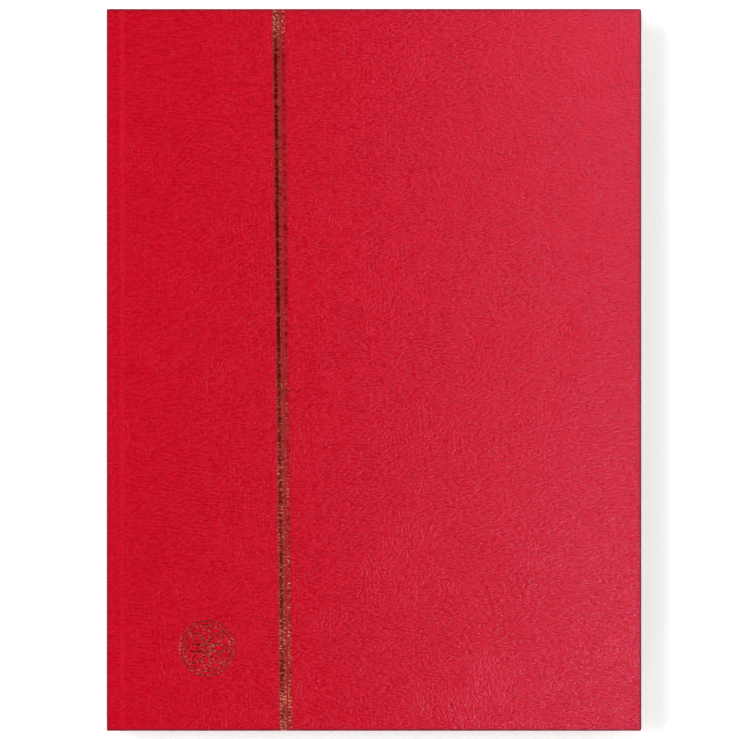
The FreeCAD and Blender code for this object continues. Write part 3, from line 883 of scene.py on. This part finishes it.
class STOCKBOOK_OT_covers(bpy.types.Operator):
    """Wraps the front and back boards in leatherette, with the beds of the foil pressed in front"""

    bl_idname = "stockbook.covers"
    bl_label = "Cover leatherette"

    def execute(self, context):
        sizes, colours = settings(context)
        for side, outward in (("front", 1.0), ("back", -1.0)):
            node = f"{side}_cover_skin"
            shape = cover_sheet(node, outward, sizes, outward > 0.0)
            finish = red(colours)
            if outward > 0.0:
                press_rosette(shape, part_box(node)[1].z, sizes)
                finish = leatherette(colours, "red_leatherette_rubbed", rubbed_band(sizes))
            piece = piece_from(f"{side}_cover_leatherette", shape, finish)
            give_wall(piece, sizes.leather)
            flat = piece.modifiers.new("flat faces", "WEIGHTED_NORMAL")
            flat.keep_sharp = True
            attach(piece, f"{side}_cover")
            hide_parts(node)
            coat(f"{side}_board", grey_board(colours))
        return {"FINISHED"}


class STOCKBOOK_OT_foil(bpy.types.Operator):
    """Lays the wide and the narrow foil line in their pressed beds, over the head and tail edges"""

    bl_idname = "stockbook.foil"
    bl_label = "Foil lines"

    def execute(self, context):
        sizes, colours = settings(context)
        low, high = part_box("front_cover_skin")
        wide_tones = (colours.foil_dark, colours.foil_warm, colours.foil_rim)
        narrow_tones = (colours.foil_thin, colours.foil_rim, colours.foil_faint)
        bodies = (
            ("wide", wide_tones, sizes.wide_line_core, sizes.wide_line_inset),
            ("narrow", narrow_tones, sizes.narrow_line_core, 0.0),
        )
        for (centre, half), made_of in zip(foil_lines(sizes), bodies):
            name, (body, warm, edge), core, inset = made_of
            shape = cover_sheet("front_cover_skin", 1.0, sizes, True)
            spare = []
            for face in shape.faces:
                place = face.calc_center_median()
                off = abs(line_offset(place, centre, sizes.line_lean))
                if off > half or place.z < (low.z + high.z) / 2.0 - sizes.foil_wrap:
                    spare.append(face)
            bmesh.ops.delete(shape, geom=spare, context="FACES")
            shape.normal_update()
            for vert in shape.verts:
                vert.co += vert.normal * sizes.foil_lift
            rim = (centre - half + inset + core, core, sizes.line_lean, edge)
            finish = gilding(colours, f"{name}_gold_foil", body, warm, rim)
            piece = piece_from(f"{name}_foil_line", shape, finish)
            give_wall(piece, sizes.foil)
            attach(piece, "front_cover")
            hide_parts(f"gold_line_{name}")
        return {"FINISHED"}


def foil_oval(shape, across, up, line, segments, place):
    """A flat oval line of foil, half to each side of its half sizes, set by a matrix."""
    loops = []
    for reach in (-line / 2.0, line / 2.0):
        made = bmesh.ops.create_circle(shape, segments=segments, radius=1.0, cap_ends=False)
        bmesh.ops.scale(shape, vec=(across + reach, up + reach, 1.0), verts=made["verts"])
        loops += list({edge for vert in made["verts"] for edge in vert.link_edges})
    bridged = bmesh.ops.bridge_loops(shape, edges=loops)
    verts = list({vert for face in bridged["faces"] for vert in face.verts})
    bmesh.ops.transform(shape, matrix=place, verts=verts)


class STOCKBOOK_OT_rosette(bpy.types.Operator):
    """Lays a foil rosette of eight petals in two rings near the foot of the spine side"""

    bl_idname = "stockbook.rosette"
    bl_label = "Foil rosette"

    def execute(self, context):
        sizes, colours = settings(context)
        line = sizes.stamp_line
        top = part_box("front_cover_skin")[1].z - sizes.stamp_depth + sizes.stamp_lift
        seat = Matrix.Translation((sizes.stamp_x, sizes.stamp_y, top))
        shape = bmesh.new()
        for radius in (sizes.outer_ring, sizes.inner_ring, sizes.eye_ring):
            foil_oval(shape, radius, radius, line, RING_SEGMENTS, seat)
        for turn in petal_turns():
            out = Matrix.Translation((sizes.petal_place, 0.0, 0.0))
            place = seat @ Matrix.Rotation(turn, 4, "Z") @ out
            foil_oval(shape, sizes.petal_length, sizes.petal_width, line, PETAL_SEGMENTS, place)
        shape.normal_update()
        down = [face for face in shape.faces if face.normal.z < 0.0]
        bmesh.ops.reverse_faces(shape, faces=down)
        finish = gilding(colours, "rosette_gold_foil", colours.foil_dark, colours.foil_warm)
        piece = piece_from("foil_rosette", shape, finish)
        give_wall(piece, sizes.foil)
        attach(piece, "front_cover")
        return {"FINISHED"}


def joint_section(front, points):
    """Section points given from the spine's outer face and a cover's outer face, in millimetres."""
    low, high = CAD_BOX
    if front:
        return [(low.x + x * MM, high.z + z * MM) for x, z in points]
    return [(low.x + x * MM, low.z - z * MM) for x, z in points]


def joint_sheet(front, section, corners, cuts, foot, head):
    """A sheet bent to a joint's section, with rounded corners, its face turned out of the book."""
    low, high = CAD_BOX
    points = joint_section(front, section)
    shape = channel(points, foot, head)
    for corner, radius, segments in corners:
        round_corner(shape, points[corner], radius * MM, segments)
    for reach in cuts:
        cut_across(shape, (low.x + reach * MM, 0.0, 0.0), (1.0, 0.0, 0.0))
    face_away(shape, (low.x + INSIDE, 0.0, (high.z + low.z) / 2.0))
    return shape


def bend_joint(piece, front):
    """Sets the place of a joint piece into its mesh, the same for either side."""
    if front:
        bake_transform(piece)
    else:
        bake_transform(piece)


class STOCKBOOK_OT_joints(bpy.types.Operator):
    """Makes the leatherette that bends in the grooves beside the spine"""

    bl_idname = "stockbook.joints"
    bl_label = "Joint leatherette"

    def execute(self, context):
        sizes, colours = settings(context)
        low, high = CAD_BOX
        for front, side, node in (
            (True, "front", "front_joint_leather"),
            (False, "rear", "back_joint_leather"),
        ):
            shape = joint_sheet(front, JOINT_SECTION, JOINT_CORNERS, JOINT_CUTS, low.y, high.y)
            fold_hems(shape, sizes.hem, sizes.turn_in)
            piece = piece_from(f"{side}_joint_leatherette", shape, red(colours))
            give_wall(piece, sizes.joint_leather)
            bend_joint(piece, front)
            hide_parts(node)
        return {"FINISHED"}


class STOCKBOOK_OT_spine(bpy.types.Operator):
    """Covers the spine between the two joints, folded in at head and tail"""

    bl_idname = "stockbook.spine"
    bl_label = "Spine leatherette"

    def execute(self, context):
        sizes, colours = settings(context)
        low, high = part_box("spine_skin")
        foot, top = CAD_BOX[0].z + sizes.spine_end, CAD_BOX[1].z - sizes.spine_end
        shape = block((low.x, low.y, foot), (high.x, high.y, top))
        shape.normal_update()
        ends = [f for f in shape.faces if abs(f.normal.z) > 0.9]
        bmesh.ops.delete(shape, geom=ends, context="FACES")
        edges = [e for e in shape.edges if all(abs(v.co.y) > high.y - NEAR for v in e.verts)]
        edges = [e for e in edges if abs(e.verts[0].co.z - e.verts[1].co.z) > MM]
        round_edges(shape, edges, sizes.spine_round, SPINE_SEGMENTS)
        hem = high.y - sizes.turn_in
        for side in (-1.0, 1.0):
            cut_across(shape, (0.0, side * hem, 0.0), (0.0, 1.0, 0.0))
        shape.normal_update()
        open_back = [f for f in shape.faces if f.normal.x > 0.9]
        open_back = [f for f in open_back if abs(f.calc_center_median().y) < hem]
        bmesh.ops.delete(shape, geom=open_back, context="FACES")
        piece = piece_from("spine_leatherette", shape, red(colours))
        give_wall(piece, sizes.leather)
        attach(piece, "spine")
        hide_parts("spine_skin")
        return {"FINISHED"}


class STOCKBOOK_OT_endpapers(bpy.types.Operator):
    """Finishes the endpapers and lines the joints with them"""

    bl_idname = "stockbook.endpapers"
    bl_label = "Endpapers"

    def execute(self, context):
        sizes, colours = settings(context)
        cream = paper("cream_endpaper", colours.endpaper, roughness=0.7)
        for side in ("front", "back"):
            coat(f"{side}_pastedown", cream)
            coat(f"{side}_flyleaf", cream)
        coat("endpaper_sewn_margins", cream)
        low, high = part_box("front_pastedown")
        for front, side in ((True, "front"), (False, "rear")):
            shape = joint_sheet(front, PAPER_SECTION, PAPER_CORNERS, PAPER_CUTS, low.y, high.y)
            piece = piece_from(f"{side}_endpaper_joint", shape, cream)
            give_wall(piece, sizes.joint_paper)
            bend_joint(piece, front)
        return {"FINISHED"}


class STOCKBOOK_OT_linen(bpy.types.Operator):
    """Hinges each leaf on a strip of black linen that bends in the gutter"""

    bl_idname = "stockbook.linen"
    bl_label = "Linen hinges"

    def execute(self, context):
        sizes, colours = settings(context)
        black = woven("black_linen_weave", colours.linen, threads=1600.0, roughness=0.85)
        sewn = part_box("linen_sewn_margins")[0].x
        for number in LEAVES:
            node = f"leaf_{number}_linen_hinge"
            low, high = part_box(node)
            root = low.x - sizes.linen_root
            shape = block((sewn, low.y, low.z), (high.x, high.y, high.z))
            for reach in LINEN_CUTS:
                cut_across(shape, (root + reach * MM, 0.0, 0.0), (1.0, 0.0, 0.0))
            middle = (low.z + high.z) / 2.0
            for vert in shape.verts:
                if root - NEAR < vert.co.x < root + sizes.linen_thin:
                    vert.co.z = middle + (vert.co.z - middle) * LINEN_PRESS
            piece = piece_from(f"leaf_{number}_linen", shape, black)
            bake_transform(piece)
            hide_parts(node, "linen_sewn_margins")
        return {"FINISHED"}


class STOCKBOOK_OT_leaves(bpy.types.Operator):
    """Finishes the black cards, their clear pockets and the glassine between them"""

    bl_idname = "stockbook.leaves"
    bl_label = "Leaves"

    def execute(self, context):
        colours = settings(context)[1]
        card = paper("black_leaf_card", colours.card, roughness=0.72, fibre=0.3)
        film = clear_film(colours)
        glassine = milky_glassine(colours)
        for number in LEAVES:
            coat(f"leaf_{number}_card", card)
            coat(f"leaf_{number}_front_strips", film)
            coat(f"leaf_{number}_back_strips", film)
        for number in GLASSINES:
            coat(f"glassine_{number}", glassine)
        coat("glassine_sewn_margins", glassine)
        guard = scaled(colours.card, 1.6)
        coat("guard_strips", paper("black_guard_card", guard, roughness=0.8, fibre=0.3))
        return {"FINISHED"}


class STOCKBOOK_OT_sewn_back(bpy.types.Operator):
    """Finishes the sewing thread, the spine board and its lining"""

    bl_idname = "stockbook.sewn_back"
    bl_label = "Sewn back"

    def execute(self, context):
        colours = settings(context)[1]
        waxed = woven("waxed_thread", colours.thread, threads=3000.0, roughness=0.6)
        coat("sewing_thread", waxed)
        low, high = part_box("spine_lining")
        shape = block(low, high)
        for step in range(1, GAUZE_CUTS):
            up = low.y + (high.y - low.y) * step / GAUZE_CUTS
            cut_across(shape, (0.0, up, 0.0), (0.0, 1.0, 0.0))
        weave = woven("spine_gauze_weave", colours.lining, threads=900.0, roughness=0.9)
        gauze = piece_from("spine_gauze", shape, weave)
        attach(gauze, "spine")
        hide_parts("spine_lining")
        coat("spine_board", grey_board(colours))
        return {"FINISHED"}


def soft_lamp(name, place, aim, size, power):
    """A soft lamp, hidden from the camera, that looks at a point."""
    light = bpy.data.lights.new(name, "AREA")
    light.shape = "RECTANGLE"
    light.size, light.size_y = size
    light.energy = power
    lamp = bpy.data.objects.new(name, light)
    lamp.location = place
    lamp.rotation_euler = (Vector(aim) - Vector(place)).to_track_quat("-Z", "Y").to_euler()
    lamp.visible_camera = False
    bpy.context.scene.collection.objects.link(lamp)
    return lamp


def pale_floor(colours):
    """A pale floor that looks white to the camera and in gloss, and keeps the book's shadow."""
    finish, tree, shader = new_finish("pale_floor", roughness=0.9, specular=0.0)
    shader.inputs["Base Color"].default_value = (*colours.floor, 1.0)
    shader.inputs["Emission Color"].default_value = (1.0, 1.0, 1.0, 1.0)
    path = node_of(tree, "ShaderNodeLightPath").outputs
    seen = combine(tree, path["Is Camera Ray"], path["Is Glossy Ray"], "MAXIMUM")
    seen = combine(tree, seen, path["Is Transmission Ray"], "MAXIMUM")
    away = node_of(tree, "ShaderNodeVectorMath", operation="LENGTH")
    tree.links.new(place_on(tree), away.inputs[0])
    glow = spread(tree, away.outputs["Value"], *FLOOR_FADE, *FLOOR_GLOW, shape="SMOOTHSTEP")
    tree.links.new(combine(tree, seen, glow, "MULTIPLY"), shader.inputs["Emission Strength"])
    return finish


def lay_floor(scene, colours):
    """Lays the floor under the book."""
    shape = bmesh.new()
    bmesh.ops.create_grid(shape, x_segments=2, y_segments=2, size=FLOOR_HALF)
    mesh = bpy.data.meshes.new("studio_floor")
    shape.to_mesh(mesh)
    shape.free()
    mesh.materials.append(pale_floor(colours))
    floor = bpy.data.objects.new("studio_floor", mesh)
    scene.collection.objects.link(floor)


def set_surround(scene):
    """A white surround to the camera, and low over the floor in gloss and film."""
    world = bpy.data.worlds.new("studio_surround")
    scene.world = world
    world.use_nodes = True
    tree = world.node_tree
    back = tree.nodes["Background"]
    back.inputs["Color"].default_value = (1.0, 1.0, 1.0, 1.0)
    split = node_of(tree, "ShaderNodeSeparateXYZ")
    coordinates = node_of(tree, "ShaderNodeTexCoord")
    tree.links.new(coordinates.outputs["Generated"], split.inputs["Vector"])
    low_down = spread(tree, split.outputs["Z"], *SURROUND_FADE, 1.0, 0.0)
    path = node_of(tree, "ShaderNodeLightPath").outputs
    seen = combine(tree, path["Is Glossy Ray"], path["Is Transmission Ray"], "MAXIMUM")
    seen = combine(tree, seen, low_down, "MULTIPLY")
    seen = combine(tree, seen, path["Is Camera Ray"], "MAXIMUM")
    tree.links.new(spread(tree, seen, 0.0, 1.0, SURROUND_FILL, 1.0), back.inputs["Strength"])


def set_camera(scene):
    """A long lens straight over the front cover."""
    lens = bpy.data.cameras.new("front_camera")
    lens.lens = LENS
    lens.sensor_width = SENSOR
    camera = bpy.data.objects.new("front_camera", lens)
    camera.location = (*CAMERA_PLACE, CAD_BOX[1].z + FRAME_WIDTH * LENS / SENSOR)
    scene.collection.objects.link(camera)
    scene.camera = camera


class STOCKBOOK_OT_stage(bpy.types.Operator):
    """Sets the pale floor, the soft lamps, the studio surround and the camera"""

    bl_idname = "stockbook.stage"
    bl_label = "Stage"

    def execute(self, context):
        scene = context.scene
        scene.view_settings.view_transform = "Standard"
        lay_floor(scene, settings(context)[1])
        for lamp in BROAD_LAMPS:
            soft_lamp(*lamp).visible_glossy = False
        for lamp in SHEEN_LAMPS:
            soft_lamp(*lamp).visible_diffuse = False
        set_surround(scene)
        set_camera(scene)
        return {"FINISHED"}


class STOCKBOOK_PT_dressing(bpy.types.Panel):
    """Lists the steps that dress the stockbook"""

    bl_idname = "STOCKBOOK_PT_dressing"
    bl_label = "Stockbook"
    bl_space_type = "VIEW_3D"
    bl_region_type = "UI"
    bl_category = "Stockbook"

    def draw(self, context):
        for step in STEPS:
            self.layout.operator(step.bl_idname)
        for group in settings(context):
            column = self.layout.column()
            for name in group.__annotations__:
                column.prop(group, name)


STEPS = (
    STOCKBOOK_OT_covers,
    STOCKBOOK_OT_foil,
    STOCKBOOK_OT_rosette,
    STOCKBOOK_OT_joints,
    STOCKBOOK_OT_spine,
    STOCKBOOK_OT_endpapers,
    STOCKBOOK_OT_linen,
    STOCKBOOK_OT_leaves,
    STOCKBOOK_OT_sewn_back,
    STOCKBOOK_OT_stage,
)
CLASSES = (StockbookSizes, StockbookColours, *STEPS, STOCKBOOK_PT_dressing)


def register():
    """Adds the settings, the steps and the panel."""
    for item in CLASSES:
        bpy.utils.register_class(item)
    bpy.types.Scene.stockbook_sizes = PointerProperty(type=StockbookSizes)
    bpy.types.Scene.stockbook_colours = PointerProperty(type=StockbookColours)


def unregister():
    """Takes them away again."""
    del bpy.types.Scene.stockbook_colours
    del bpy.types.Scene.stockbook_sizes
    for item in reversed(CLASSES):
        bpy.utils.unregister_class(item)


def main():
    """Dresses the book step by step."""
    register()
    bpy.ops.stockbook.covers()
    bpy.ops.stockbook.foil()
    bpy.ops.stockbook.rosette()
    bpy.ops.stockbook.joints()
    bpy.ops.stockbook.spine()
    bpy.ops.stockbook.endpapers()
    bpy.ops.stockbook.linen()
    bpy.ops.stockbook.leaves()
    bpy.ops.stockbook.sewn_back()
    bpy.ops.stockbook.stage()


if __name__ == "__main__":
    main()
